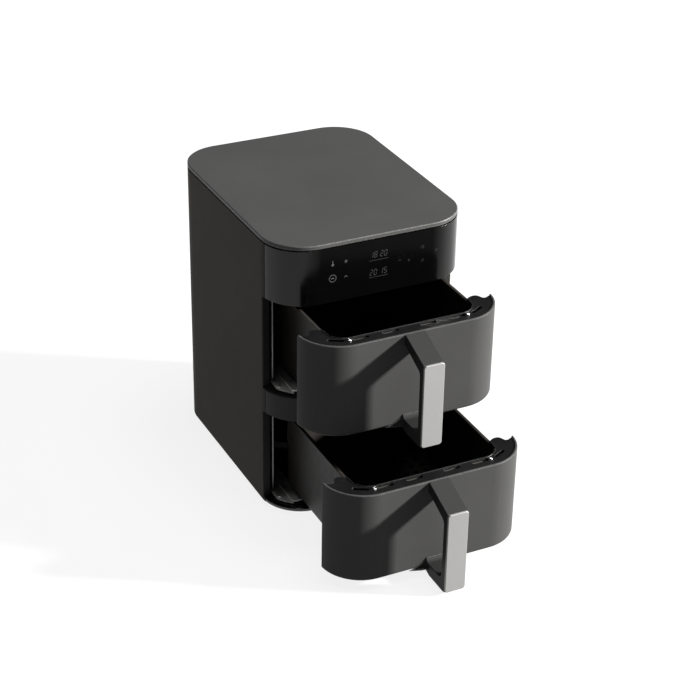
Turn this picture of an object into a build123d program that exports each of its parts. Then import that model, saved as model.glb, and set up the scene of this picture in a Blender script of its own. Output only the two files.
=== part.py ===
from build123d import *
import os
from math import radians, sin

# A two-tier air fryer: a tall housing with two drawers, one above the other.
# Working frame: X to the right, Y to the back, Z up, in millimetres. The front faces -Y.
# Every part is drawn about the housing's own middle, with Z = 0 at the underside of the base tray,
# and with its drawer closed. main() then slides the drawers open to their rest position and moves
# the whole model so that the middle of its footprint on the floor is the origin.

# ---- driving dimensions ----
BODY_W = 300.0
BODY_D = 380.0
BODY_H = 430.0
CORNER_R = 62.0
FOOT_H = 8.0

UPPER_OPEN = 116.0          # how far each drawer stands open at rest
LOWER_OPEN = 199.0

TIER_PITCH = 187.0          # from the lower drawer to the upper one
RIM_Z = 147.5               # top of the lower drawer's front
FASCIA_H = 140.5
FASCIA_WALL = 3.0
BASKET_W = 224.0
BASKET_FRONT = 23.5         # from the front face back to the basket's outer wall
BASKET_BACK_Y = 86.0

HANDLE_W = 31.5
HANDLE_REACH = 57.0
HANDLE_DROP = 21.5          # from the drawer's rim down to the top of the grip
GRIP_H = 127.5
GRIP_TRIM_T = 3.0

BASE_TOP = 6.0
LID_T = 6.0
REVEAL = 7.5                # from the lid's top down to the top of the side wrap
SLEEVE_T = 1.6
SEAM_Y = -139.0             # front edge of the side wrap beside the panel and the divider
COVER_T = 2.4
COVER_BACK_Y = -140.7
FASCIA_BACK_Y = -133.6      # the closed drawer fronts reach a little further back than the panel
NOTCH_Y = -133.0            # front edge of the side wrap beside the drawers
FRAME_INSET = 2.6
JAMB_FRONT_Y = -132.8
JAMB_BACK_Y = -127.0
JAMB_X = 139.0

LOWER_OPENING = (BASE_TOP, 154.0)
UPPER_OPENING = (192.0, 339.0)
LINER_Z = 6.5
LINER_H = 144.5
LINER_HALF_W = 138.9
LINER_BACK_Y = 96.0
SHEET = 1.0
FLOOR_Z = LINER_Z + SHEET   # inside floor of the lower cavity

FAN_Z = 80.0                # height of the lower fan's axis
SHAFT_R = 3.0
FIT = 0.06                  # radial running clearance of the shafts

FRONT_Y = -BODY_D / 2
BACK_Y = BODY_D / 2
WRAP_TOP = BODY_H - REVEAL
GLAND_OUT = 8.0             # how far the cord gland stands out of the back
TIERS = {"lower": 0.0, "upper": TIER_PITCH}
OPEN = {"lower": LOWER_OPEN, "upper": UPPER_OPEN}


# ---- small helpers ----
def plan(inset=0.0):
    """The housing's outline from above, moved inwards."""
    return RectangleRounded(BODY_W - 2 * inset, BODY_D - 2 * inset, CORNER_R - inset)


def slab(sketch, low, high):
    return Pos(0, 0, low) * extrude(sketch, high - low)


def block(xs, ys, zs):
    """A box from its low and high limits on each axis."""
    size = [b - a for a, b in (xs, ys, zs)]
    middle = [(a + b) / 2 for a, b in (xs, ys, zs)]
    return Pos(*middle) * Box(*size)


def wall(inset, thickness, low, high):
    """A closed ring that follows the housing's outline."""
    return slab(plan(inset), low, high) - slab(plan(inset + thickness), low - 1, high + 1)


def ahead_of(y, low=-20.0, high=460.0):
    return block((-200, 200), (-260, y), (low, high))


def behind(y, low=-20.0, high=460.0):
    return block((-200, 200), (y, 260), (low, high))


def rod_y(x, z, radius, y0, y1):
    """A round bar along Y."""
    return Pos(x, (y0 + y1) / 2, z) * Rot(90, 0, 0) * Cylinder(radius, y1 - y0)


def rod_z(x, y, radius, z0, z1):
    return Pos(x, y, (z0 + z1) / 2) * Cylinder(radius, z1 - z0)


def screw(head_r, head_h, shank_r, shank_l):
    """A pan-head screw at the origin: its head stands up +Z, with a cross slot in it."""
    head = Pos(0, 0, head_h / 2) * Cylinder(head_r, head_h)
    head = fillet(head.edges().filter_by(GeomType.CIRCLE).sort_by(Axis.Z)[-1], head_h * 0.6)
    slot = Pos(0, 0, head_h) * (Box(head_r, 0.6, head_h) + Box(0.6, head_r, head_h))
    shank = Pos(0, 0, -shank_l / 2) * Cylinder(shank_r, shank_l)
    return head - slot + shank


def both_sides(shape):
    return [shape, mirror(shape, about=Plane.YZ)]


def group(shapes):
    """Separate solids that share one node."""
    return Compound([solid for shape in shapes for solid in shape.solids()])


# ---- housing ----
BASE_RIM_H = 8.0
BASE_RIM_INSET = 1.9
BASE_PLATE_T = 3.0
BASE_LIP_Y = -131.0         # the tray is solid in front of this line
BASE_EDGE_R = 1.6
RAIL_PLINTH = ((104.0, 135.2), (-174.0, -132.0))
PLINTH_INSET = 10.5         # clear of the closed drawer front's turned-in lower edge
FOOT_R = 11.0
FOOT_SPOTS = [(x, y) for x in (-105, 105) for y in (-140, 140)]
FOOT_SCREW_R = 2.0


def rail_plinths(low, high):
    """The raised pads in both front corners that the rails' front ends stand on."""
    clear = slab(plan(PLINTH_INSET), low, high)
    return [pad & clear for pad in both_sides(block(*RAIL_PLINTH, (low, high)))]


def base_tray():
    front = slab(plan(), 0, BASE_TOP) & ahead_of(SEAM_Y - 0.3)
    front = fillet(front.edges().group_by(Axis.Z)[0].filter_by(GeomType.CIRCLE), 2.5)
    ahead = front.edges().group_by(Axis.Z)[-1].filter_by(lambda edge: edge.center().Y < SEAM_Y - 1)
    front = fillet(ahead, BASE_EDGE_R)
    middle = slab(plan(BASE_RIM_INSET), 0, BASE_TOP) & behind(SEAM_Y - 1)
    tray = front + middle - block((-120, 120), (BASE_LIP_Y, 150), (BASE_PLATE_T, 20))
    rim = wall(BASE_RIM_INSET, 2.0, BASE_TOP, BASE_TOP + BASE_RIM_H) & behind(JAMB_BACK_Y + 2)
    tray += rim
    tray += rail_plinths(BASE_TOP - 1, FLOOR_Z)
    for x, y in FOOT_SPOTS:
        tray -= rod_z(x, y, FOOT_SCREW_R, -1, BASE_TOP + 2)
    for x in (-RAIL_SCREW_X, RAIL_SCREW_X):
        for y in RAIL_SCREW_Y:
            tray -= rod_z(x, y, 1.7, 4, FLOOR_Z + 1)
    for x in (-72, 0, 72):
        tray -= block((x - 24, x + 24), (100, 104), (-1, BASE_PLATE_T + 1))
        tray -= block((x - 24, x + 24), (112, 116), (-1, BASE_PLATE_T + 1))
    return tray


def rubber_feet():
    foot = Pos(0, 0, -FOOT_H / 2) * Cylinder(FOOT_R, FOOT_H)
    foot = fillet(foot.edges().group_by(Axis.Z)[0], 2.0)
    foot += Pos(0, 0, BASE_PLATE_T / 2) * Cylinder(FOOT_SCREW_R - 0.1, BASE_PLATE_T)
    return group([Pos(x, y, 0) * foot for x, y in FOOT_SPOTS])


WINDOW_X = 84.0
WINDOW_Z = (24.0, 400.0)


def rear_window(grow=0.0):
    width = 2 * (WINDOW_X + grow)
    height = WINDOW_Z[1] - WINDOW_Z[0] + 2 * grow
    outline = Plane.XZ * RectangleRounded(width, height, 14 + grow)
    return Pos(0, 210, sum(WINDOW_Z) / 2) * extrude(outline, 80)


def side_wrap():
    shell = wall(0, SLEEVE_T, 0.8, WRAP_TOP) & behind(SEAM_Y)
    for low, high in (LOWER_OPENING, UPPER_OPENING):
        shell -= ahead_of(NOTCH_Y, low, high)
    return shell - rear_window()


SCREW_SPOTS_REAR = [(x, z) for x in (-77, 77) for z in (34, 162, 262, 390)]
GLAND_SPOT = (56.0, 40.0)
CORD_R = 3.7


def louvres(middle_z, count=9, pitch=7.0, half_w=46.0, slot=3.2):
    """A round-ended stack of air slots, cut right through the rear cover."""
    slots = []
    for i in range(count):
        z = middle_z + (i - (count - 1) / 2) * pitch
        outline = Pos(0, 0, z) * (Plane.XZ * SlotOverall(2 * half_w, slot))
        slots.append(Pos(0, 215, 0) * extrude(outline, 60))
    return slots


def rear_cover():
    face = rear_window(-0.4) & block((-140, 140), (BACK_Y - 3.0, BACK_Y), (0, 420))
    face = fillet(face.edges().group_by(Axis.Y)[-1], 0.8)
    flange = rear_window(3.6) & block((-140, 140), (BACK_Y - 4.0, BACK_Y - SLEEVE_T - 0.2), (0, 420))
    cover = face + flange
    recess = block((-60, 60), (BACK_Y - 1.0, BACK_Y + 2), (0, 420))
    for lift in TIERS.values():
        pocket = recess & rod_y(0, FAN_Z + lift, 56, BACK_Y - 3, BACK_Y + 2)
        cover -= pocket
        for slot in louvres(FAN_Z + lift):
            cover -= slot
    for slot in louvres(372, count=4):
        cover -= slot
    for x, z in SCREW_SPOTS_REAR:
        cover -= rod_y(x, z, 1.8, BACK_Y - 8, BACK_Y + 2)
    cover -= rod_y(*GLAND_SPOT, 7.2, BACK_Y - 10, BACK_Y + 2)
    return cover


def rear_cover_screws():
    one = Rot(-90, 0, 0) * screw(3.2, 2.0, 1.6, 10)
    return group([Pos(x, BACK_Y, z) * one for x, z in SCREW_SPOTS_REAR])


def cord_gland():
    x, z = GLAND_SPOT
    collar = rod_y(x, z, 11, BACK_Y, BACK_Y + GLAND_OUT)
    collar = fillet(collar.edges().group_by(Axis.Y)[-1], 2.5)
    neck = rod_y(x, z, 7, BACK_Y - 14, BACK_Y)
    nut = rod_y(x, z, 11, BACK_Y - 12, BACK_Y - 4.2)
    return collar + neck + nut - rod_y(x, z, CORD_R, BACK_Y - 20, BACK_Y + GLAND_OUT + 1)


LID_TAB_X = (127.0, 146.0)
LID_TAB_Y = 112.0
LID_SCREW_X = 134.0


def lid_screw_spots():
    return [(x, y) for x in (-LID_SCREW_X, LID_SCREW_X) for y in (-LID_TAB_Y, LID_TAB_Y)]


def top_lid():
    lid = slab(plan(), BODY_H - LID_T, BODY_H)
    lid = fillet(lid.edges().group_by(Axis.Z)[-1], 1.1)
    lid = chamfer(lid.edges().group_by(Axis.Z)[0], 0.7)
    for x, y in lid_screw_spots():
        lid -= rod_z(x, y, 1.6, BODY_H - LID_T - 1, BODY_H - 2)
    return lid


def lid_frame():
    low = BODY_H - LID_T - 9
    ring = wall(2.8, 3.0, low, BODY_H - LID_T)
    for y in (-LID_TAB_Y, LID_TAB_Y):
        for tab in both_sides(block(LID_TAB_X, (y - 10, y + 10), (BODY_H - LID_T - 4, BODY_H - LID_T))):
            ring += tab & slab(plan(4), low, BODY_H)
    for x, y in lid_screw_spots():
        ring -= rod_z(x, y, 1.8, low - 1, BODY_H)
    return ring


def lid_screws():
    one = Rot(180, 0, 0) * screw(3.0, 2.0, 1.5, 7.5)
    return group([Pos(x, y, BODY_H - LID_T - 4) * one for x, y in lid_screw_spots()])


DISPLAY_X = (-92.0, 106.0)
DISPLAY_Z = (352.0, 412.0)
DISPLAY_ROWS = (372.0, 396.0)
WEB = 3.0
BOSS_FLOOR = FLOOR_Z + TIER_PITCH
MAGNET_X = -55.5
MAGNET_R = 3.5
MAGNET_H = 5.0


def front_frame():
    """The moulding behind the control panel and the divider, with the two drawer openings."""
    top = BODY_H - LID_T - 9.4
    skin = wall(FRAME_INSET, 3.0, BASE_TOP, top) & ahead_of(JAMB_BACK_Y)
    webs = Part()
    for low in (LOWER_OPENING[1], UPPER_OPENING[0] - WEB, UPPER_OPENING[1], top - WEB):
        webs += slab(plan(FRAME_INSET + 1), low, low + WEB) & ahead_of(JAMB_BACK_Y)
    posts = slab(plan(1.8), BASE_TOP, top) & block((-160, 160), (JAMB_FRONT_Y, JAMB_BACK_Y), (0, top))
    posts -= block((-JAMB_X, JAMB_X), (-160, -120), (0, top))
    frame = skin + webs + posts
    for low, high in (LOWER_OPENING, UPPER_OPENING):
        frame -= block((-160, 160), (-200, JAMB_FRONT_Y), (low, high))
        frame -= block((-JAMB_X, JAMB_X), (-160, -120), (low, high))
    frame -= block(DISPLAY_X, (-200, -180), DISPLAY_Z)
    frame += rail_plinths(UPPER_OPENING[0] - 1, BOSS_FLOOR)
    for spot in both_sides(rod_z(RAIL_SCREW_X, RAIL_SCREW_Y[0], 1.7, UPPER_OPENING[0] - 4, BOSS_FLOOR + 3)):
        frame -= spot
    return frame


def wrapped_cover(low, high):
    """A skin that follows the housing's front and both of its front corners."""
    skin = wall(0, COVER_T, low, high) & ahead_of(COVER_BACK_Y)
    outer = skin.edges().filter_by(GeomType.CIRCLE).filter_by(lambda e: e.radius > CORNER_R - 0.1)
    front = skin.edges().filter_by(Axis.X).group_by(Axis.Y)[0]
    return fillet(outer + front, 0.8)


def divider_cover():
    return wrapped_cover(LOWER_OPENING[1] + 0.2, UPPER_OPENING[0] - 0.2)


def control_panel():
    return wrapped_cover(UPPER_OPENING[1], WRAP_TOP)


# ---- electronics behind the panel ----
BOARD_T = 1.6
DISPLAY_FRONT_Y = -185.0
TOUCH_BOARD_Y = -179.0
POWER_BOARD = ((-70.0, 70.0), (-100.0, 10.0))
POWER_BOARD_Z = 352.0
MAT_TOP = 346.2             # where the power board's pillars stand
POWER_BLOCKS = [            # middle, width, depth and height of each boxed component
    (-40, -60, 34, 28, 30), (10, -70, 24, 20, 22), (44, -30, 20, 34, 26), (-48, -14, 22, 14, 16),
    (-10, -20, 16, 16, 24)]
CAN_SPOTS = [(-20, -40), (28, -40)]


def display_module():
    body = block((-30, 34), (DISPLAY_FRONT_Y, TOUCH_BOARD_Y), (360, 406))
    body = fillet(body.edges().filter_by(Axis.Y), 2.0)
    for z in DISPLAY_ROWS:
        body -= block((-26, 30), (DISPLAY_FRONT_Y - 1, DISPLAY_FRONT_Y + 0.8), (z - 8, z + 8))
    return body


def touch_board():
    board = block((-88, 102), (TOUCH_BOARD_Y, TOUCH_BOARD_Y + BOARD_T), (354, 410))
    for x in (-70, -40, 55, 80):
        for z in (362, 392):
            board += block((x, x + 9), (TOUCH_BOARD_Y + 1, TOUCH_BOARD_Y + 4), (z, z + 9))
    return board


def power_board():
    base = POWER_BOARD_Z
    board = block(*POWER_BOARD, (base, base + BOARD_T))
    for x in (-64, 64):
        for y in (-94, 4):
            board += rod_z(x, y, 3.5, MAT_TOP, base)
    for x, y, w, d, h in POWER_BLOCKS:
        board += block((x - w / 2, x + w / 2), (y - d / 2, y + d / 2), (base + 1, base + BOARD_T + h))
    for x, y in CAN_SPOTS:
        board += rod_z(x, y, 8, base + 1, base + 32)
    return board


def reed_sensors():
    bodies = []
    for low in (LOWER_OPENING[1] + WEB, UPPER_OPENING[0] - WEB - 8):
        bodies.append(block((MAGNET_X - 10, MAGNET_X + 10), (-181, -172), (low, low + 8)))
    return group(bodies)


# ---- cooking cavities: one of each per tier ----
RAIL_FLANGE = (102.0, 119.0)
RAIL_TOP = 13.0
RAIL_T = 1.5
RAIL_FRONT_Y = -172.0
RAIL_BACK_Y = 84.0
RAIL_FOOT_X = 135.0
RAIL_SCREW_X = 129.6
RAIL_SCREW_Y = (-147.5, -40.0, 60.0)
LINER_LIP_X = 133.9         # the cavity's mouth is turned in to this line at both sides
LINER_LIP_INSET = 4.0       # the turned-in strip stops short of the floor and the ceiling
FAN_HOLE_R = 60.0


def liner(lift):
    low = LINER_Z + lift
    front = JAMB_BACK_Y + 0.2
    outer = block((-LINER_HALF_W, LINER_HALF_W), (front, LINER_BACK_Y), (low, low + LINER_H))
    outer = fillet(outer.edges().filter_by(Axis.Y), 3.0)
    inner_w = LINER_HALF_W - SHEET
    inner = block((-inner_w, inner_w), (front - 5, LINER_BACK_Y - SHEET),
                  (low + SHEET, low + LINER_H - SHEET))
    inner = fillet(inner.edges().filter_by(Axis.Y), 2.0)
    shell = outer - inner - rod_y(0, FAN_Z + lift, FAN_HOLE_R, LINER_BACK_Y - 10, LINER_BACK_Y + 10)
    lip_z = (low + LINER_LIP_INSET, low + LINER_H - LINER_LIP_INSET)
    for lip in both_sides(block((LINER_LIP_X, inner_w + 0.5), (front, front + SHEET), lip_z)):
        shell += lip
    for side in (-1, 1):
        for y in RAIL_SCREW_Y[1:]:
            shell -= rod_z(side * RAIL_SCREW_X, y, 1.7, low - 1, low + 3)
    return shell


def rail(lift):
    """The left runner: a foot screwed to the floor, a web, and a flange that the basket rides on."""
    top = RAIL_TOP + lift
    floor = FLOOR_Z + lift
    flange = block(RAIL_FLANGE, (RAIL_FRONT_Y, RAIL_BACK_Y), (top - RAIL_T, top))
    flange = fillet(flange.edges().filter_by(Axis.Z).group_by(Axis.Y)[0], 5.0)
    web_x = RAIL_FLANGE[1] - RAIL_T
    web = block((web_x, RAIL_FLANGE[1]), (RAIL_FRONT_Y + 4, RAIL_BACK_Y), (floor, top))
    foot = block((web_x, RAIL_FOOT_X), (RAIL_FRONT_Y, RAIL_BACK_Y), (floor, floor + RAIL_T))
    foot &= slab(plan(PLINTH_INSET), floor, floor + RAIL_T)
    runner = flange + web + foot
    for y in RAIL_SCREW_Y:
        runner -= rod_z(RAIL_SCREW_X, y, 1.7, floor - 1, floor + 3)
    return runner


def rails():
    return group([side for lift in TIERS.values() for side in both_sides(rail(lift))])


def rail_screws():
    one = screw(3.2, 2.2, 1.5, 3.6)
    spots = [(side * RAIL_SCREW_X, y, FLOOR_Z + RAIL_T + lift)
             for lift in TIERS.values() for side in (-1, 1) for y in RAIL_SCREW_Y]
    return group([Pos(*spot) * one for spot in spots])


def ring_y(outer, inner, y0, y1, z):
    return rod_y(0, z, outer, y0, y1) - rod_y(0, z, inner, y0 - 1, y1 + 1)


GUARD_Y = (91.2, 93.2)
GUARD_R = 66.0
GUARD_RIM_T = 5.0
GUARD_RINGS = range(16, 60, 9)    # inner radius of each ring of slots
GUARD_SLOT_W = 5.5
SPOKE_HALF_W = 2.0


def fan_guard(lift):
    """The round pressed grille over the fan: rings of slots between six spokes."""
    z = FAN_Z + lift
    near, far = GUARD_Y
    disc = rod_y(0, z, GUARD_R, near, far)
    disc += ring_y(GUARD_R, GUARD_R - GUARD_RIM_T, near, LINER_BACK_Y - SHEET, z)
    rim = disc.edges().filter_by(GeomType.CIRCLE).group_by(Axis.Y)[0].sort_by(Edge.radius)[-1]
    disc = fillet(rim, 1.2)
    cuts = Part()
    for radius in GUARD_RINGS:
        cuts += ring_y(radius + GUARD_SLOT_W, radius, near - 1, far + 1, z)
    for i in range(3):
        spoke = block((-GUARD_R, GUARD_R), (near - 2, far + 2), (-SPOKE_HALF_W, SPOKE_HALF_W))
        cuts -= Pos(0, 0, z) * Rot(0, 60 * i + 15, 0) * spoke
    return disc - cuts


HEATER_Y = 105.0
HEATER_R = 3.2
HEATER_LOOPS = (52.0, 37.0)
HEATER_LEG_R = 2.6
HEATER_LEG_END_Y = 146.0


def heater(lift):
    """The tubular heating element: two loops joined, with two legs to the back."""
    z = FAN_Z + lift
    loops = Part()
    outer, inner = HEATER_LOOPS
    for radius in HEATER_LOOPS:
        loops += Pos(0, HEATER_Y, z) * Rot(90, 0, 0) * Torus(radius, HEATER_R)
    for x in (-outer, outer):
        loops += rod_y(x, z, HEATER_LEG_R, HEATER_Y, HEATER_LEG_END_Y)
    return loops + block((-outer + 2, -inner - 2), (HEATER_Y - 2, HEATER_Y + 2), (z - 2, z + 2))


SHROUD_BACK_Y = 138.0
SHROUD_R = 70.0
SHROUD_T = 1.2
SHROUD_LIP_R = 74.0


def fan_shroud(lift):
    """The round chamber behind the cavity that holds the heater and the fan wheel."""
    z = FAN_Z + lift
    side = ring_y(SHROUD_R, SHROUD_R - SHROUD_T, LINER_BACK_Y, SHROUD_BACK_Y, z)
    back = rod_y(0, z, SHROUD_R, SHROUD_BACK_Y - SHROUD_T, SHROUD_BACK_Y)
    lip = ring_y(SHROUD_LIP_R, SHROUD_R - 1, LINER_BACK_Y, LINER_BACK_Y + 1.5, z)
    hole_y = (SHROUD_BACK_Y - 8, SHROUD_BACK_Y + 7)
    shroud = side + back + lip - rod_y(0, z, 8, *hole_y)
    for x in (-HEATER_LOOPS[0], HEATER_LOOPS[0]):
        shroud -= rod_y(x, z, HEATER_LEG_R + 0.6, *hole_y)
    return shroud


MOTOR_Y = (142.0, 168.0)
MOTOR_R = 28.0
MOTOR_FLANGE_R = 36.0
MOTOR_BOSS_R = 9.0
SHAFT_Y = (110.0, 184.0)


def motor(lift):
    """The can, the flange that holds it to the shroud, and a bearing boss at each end."""
    z = FAN_Z + lift
    front, back = MOTOR_Y
    can = fillet(rod_y(0, z, MOTOR_R, front, back).edges().filter_by(GeomType.CIRCLE), 3.0)
    flange = rod_y(0, z, MOTOR_FLANGE_R, SHROUD_BACK_Y, front)
    flange -= rod_y(0, z, 20, SHROUD_BACK_Y - 1, front - 1)
    front_boss = rod_y(0, z, MOTOR_BOSS_R, front - 2.5, front + 1)
    back_boss = rod_y(0, z, MOTOR_BOSS_R, back - 1, back + 3)
    return can + flange + front_boss + back_boss - rod_y(0, z, SHAFT_R + FIT, front - 12, back + 12)


def fan_shaft(lift):
    return fillet(rod_y(0, FAN_Z + lift, SHAFT_R, *SHAFT_Y).edges().group_by(Axis.Y)[0], 0.8)


def bladed_wheel(z, blades, root_r, tip_r, hub_r, ys, pitch_deg, thickness=1.2):
    """A hub with flat blades set at an angle, on a shaft along Y."""
    y0, y1 = ys
    wheel = rod_y(0, z, hub_r, y0, y1)
    blade = Pos((root_r + tip_r) / 2, (y0 + y1) / 2, 0) * Rot(pitch_deg, 0, 0) * Box(
        tip_r - root_r, thickness, 0.92 * (y1 - y0) / max(sin(radians(abs(pitch_deg))), 0.4))
    for i in range(blades):
        wheel += Pos(0, 0, z) * Rot(0, 360 / blades * i, 0) * blade
    return wheel - rod_y(0, z, SHAFT_R, y0 - 1, y1 + 1)


WHEEL_R = 45.0
WHEEL_DISC_Y = (126.0, 127.5)
WHEEL_HUB_Y = (113.0, 127.0)
WHEEL_BLADES = 12
COOLING_FAN_Y = (173.5, 182.5)


def impeller(lift):
    """The hot-air wheel: a back disc with straight radial blades."""
    z = FAN_Z + lift
    wheel = rod_y(0, z, WHEEL_R, *WHEEL_DISC_Y) + rod_y(0, z, 9, *WHEEL_HUB_Y)
    blade = block((14, WHEEL_R - 1), (WHEEL_HUB_Y[0] - 0.5, WHEEL_DISC_Y[0] + 0.5), (-0.5, 0.5))
    for i in range(WHEEL_BLADES):
        wheel += Pos(0, 0, z) * Rot(0, 360 / WHEEL_BLADES * i, 0) * blade
    return wheel - rod_y(0, z, SHAFT_R, WHEEL_HUB_Y[0] - 3, WHEEL_DISC_Y[1] + 3)


def cooling_fan(lift):
    return bladed_wheel(FAN_Z + lift, 7, 8, 34, 10, COOLING_FAN_Y, 35)


MAT = ((-128.0, 128.0), (-118.0, 90.0))
MAT_T = 7.0


def insulation_mats():
    """One mat between the two cavities and one on top of the upper cavity."""
    low = TIER_PITCH + LINER_Z + LINER_H
    levels = ((LINER_Z + LINER_H + 4, TIER_PITCH + LINER_Z - 4), (low, low + MAT_T))
    return group([block(*MAT, level) for level in levels])


PROBE_SPOT = (96.0, 44.0)   # to the right of the fan's axis, and above it
PROBE_TIP_Y = 90.6


def temperature_sensors():
    """A short probe in the rear wall of each cavity, behind the closed basket."""
    wall_y = LINER_BACK_Y - SHEET
    probes = []
    for lift in TIERS.values():
        x, z = PROBE_SPOT[0], FAN_Z + PROBE_SPOT[1] + lift
        probes.append(rod_y(x, z, 2.2, PROBE_TIP_Y, wall_y) + rod_y(x, z, 5.0, wall_y - 2.5, wall_y))
    return group(probes)


# ---- drawers: one of each per tier, drawn closed, for the lower tier ----
BASKET_T = 1.5
BASKET_R = 26.0
BASKET_TAPER = 1.0
BASKET_FOOT_R = 7.0
BASKET_RIM_Z = RIM_Z - 3.2
BASKET_FRONT_Y = FRONT_Y + BASKET_FRONT
BASKET_BOTTOM_Z = RIM_Z - 131.0
RIM_LIP = 3.5
BASKET_LENGTH = BASKET_BACK_Y - BASKET_FRONT_Y
BASKET_MID_Y = (BASKET_BACK_Y + BASKET_FRONT_Y) / 2
LIP_H = 3.0
NOTCH_HALF_W = 78.0
NOTCH_DEPTH = 26.0
SKID_X = (101.5, 105.5)
SKID_Y = (-130.0, 60.0)


def basket_plan(grow):
    """The basket's outline at its top edge, moved outwards."""
    return Pos(0, BASKET_MID_Y) * RectangleRounded(
        BASKET_W + 2 * grow, BASKET_LENGTH + 2 * grow, BASKET_R + grow)


def basket_block(grow, low):
    """The pan's tapered block from its top edge down to a level, with a rounded foot."""
    shape = Pos(0, 0, BASKET_RIM_Z) * extrude(basket_plan(grow), low - BASKET_RIM_Z, taper=BASKET_TAPER)
    return fillet(shape.edges().group_by(Axis.Z)[0], BASKET_FOOT_R + grow)


def basket():
    """A pan of sheet metal with a turned-out lip, and a hollow in the back edge of that lip."""
    lip = slab(basket_plan(RIM_LIP), BASKET_RIM_Z - LIP_H, BASKET_RIM_Z)
    lip = fillet(lip.edges().group_by(Axis.Z)[-1], 1.2)
    pan = basket_block(0, BASKET_BOTTOM_Z) + lip - basket_block(-BASKET_T, BASKET_BOTTOM_Z + BASKET_T)
    pan -= slab(basket_plan(-BASKET_T), BASKET_RIM_Z - 0.02, BASKET_RIM_Z + 1)
    notch = block((-NOTCH_HALF_W, NOTCH_HALF_W), (BASKET_BACK_Y - 26, BASKET_BACK_Y + 14),
                  (BASKET_RIM_Z - NOTCH_DEPTH, BASKET_RIM_Z + 5))
    return pan - fillet(notch.edges().filter_by(Axis.Y).group_by(Axis.Z)[0], 12)


def skids():
    return group(both_sides(block(SKID_X, SKID_Y, (RAIL_TOP + 0.3, BASKET_BOTTOM_Z))))


PLATE_Z = BASKET_BOTTOM_Z + 15.5
PLATE_T = 1.6
PLATE_GAP = 3.0
PLATE_HOLES = (11, 13)      # across, and front to back
HOLE_PITCH = 16.5
PLATE_HOLE_R = 4.0
LIFT_SLOT = (34.0, 20.0)
HOLE_FREE = 20.0            # no holes this close to the lifting slot's middle
PEG_R = 5.0
BUMPER_SPOTS = [(x, y) for x in (-84, 84) for y in (-115, 35)]


def crisper_plate():
    """A shallow inverted tray with rows of round holes, a lifting slot and four pegs."""
    edge = BASKET_T + PLATE_GAP + 2.2
    plate = slab(basket_plan(-edge), PLATE_Z - 5, PLATE_Z + PLATE_T)
    plate = fillet(plate.edges().group_by(Axis.Z)[-1], 2.0)
    plate -= slab(basket_plan(-edge - PLATE_T), PLATE_Z - 6, PLATE_Z)
    for i in range(PLATE_HOLES[0]):
        for j in range(PLATE_HOLES[1]):
            x = (i - (PLATE_HOLES[0] - 1) / 2) * HOLE_PITCH
            y = (j - (PLATE_HOLES[1] - 1) / 2) * HOLE_PITCH
            if max(abs(x), abs(y)) > HOLE_FREE:
                plate -= rod_z(x, BASKET_MID_Y + y, PLATE_HOLE_R, PLATE_Z - 1, PLATE_Z + 4)
    plate -= slab(Pos(0, BASKET_MID_Y) * SlotOverall(*LIFT_SLOT), PLATE_Z - 1, PLATE_Z + 4)
    for x, y in BUMPER_SPOTS:
        plate += rod_z(x, y, PEG_R, PLATE_Z - 7, PLATE_Z + 0.5)
    return plate


def plate_bumpers():
    """Silicone caps that the crisper plate stands on."""
    cap = Pos(0, 0, -3.6) * Cylinder(PEG_R + 1.6, 6.4)
    cap = fillet(cap.edges().group_by(Axis.Z)[0], 1.5) - Pos(0, 0, -0.2) * Cylinder(PEG_R, 6.6)
    base = BASKET_BOTTOM_Z + BASKET_T
    return group([Pos(x, y, base + 0.1 + 6.8) * cap for x, y in BUMPER_SPOTS])


FASCIA_LOW = RIM_Z - FASCIA_H
WEB_X = 98.0
BRACKET_Y = -171.4
BRACKET_Z = (FASCIA_LOW + 6.5, RIM_Z - 14)
HANDLE_SCREW_Z = (RIM_Z - 9.0, FASCIA_LOW + 5.6)
HANDLE_SCREWS = [(x, z) for x in (-8, 8) for z in HANDLE_SCREW_Z]
SLOT_BACK = 17.5            # from the front face back to the row of slots
RIM_SCREW_X = 90.5
COVER_TOP = RIM_Z - 1.0
COVER_LOW = RIM_Z - 3.0


def front_edges(shape, level):
    """The edges round the front and sides of the drawer front, at its bottom (0) or top (-1)."""
    edges = shape.edges().filter_by(lambda edge: edge.center().Y < FASCIA_BACK_Y - 1)
    return edges.group_by(Axis.Z)[level]


def fascia():
    """The drawer's hollow front, which follows the housing's front and both corners."""
    outer = slab(plan(), FASCIA_LOW, RIM_Z) & ahead_of(FASCIA_BACK_Y)
    outer = fillet(front_edges(outer, 0), 4.5)
    outer = chamfer(front_edges(outer, -1), 0.9)
    shell = outer - slab(plan(FASCIA_WALL), FASCIA_LOW + 6, RIM_Z + 1)
    shell -= slab(plan(9), FASCIA_LOW - 1, FASCIA_LOW + 8) & behind(BRACKET_Y + 0.5)
    for corner in both_sides(block((WEB_X, 160), (BRACKET_Y - 10, -100), (-5, 20))):
        shell -= corner & slab(plan(9), -5, 20)
    for x in (-WEB_X, -50, 50, WEB_X):
        shell += block((x - 1.2, x + 1.2), (FRONT_Y + 1, BRACKET_Y - 0.1), (FASCIA_LOW + 3, RIM_Z - 14))
    for post in both_sides(block((88, 94.5), (-178, -170.3), (RIM_Z - 13.8, COVER_LOW))):
        shell += post
    for foot in both_sides(block((88, WEB_X), (-178, BRACKET_Y - 0.2), (RIM_Z - 18, RIM_Z - 9.5))):
        shell += foot
    for x in (-RIM_SCREW_X, RIM_SCREW_X):
        shell -= rod_z(x, FRONT_Y + SLOT_BACK, 1.7, RIM_Z - 13, RIM_Z)
    for x, z in HANDLE_SCREWS:
        shell += rod_y(x, z, 4.5, FRONT_Y + 1, -178)
    for x, z in HANDLE_SCREWS:
        shell -= rod_y(x, z, 2.0, FRONT_Y - 1, -170)
        shell -= rod_y(x, z, 4.2, -178, -170)
    return shell


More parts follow.
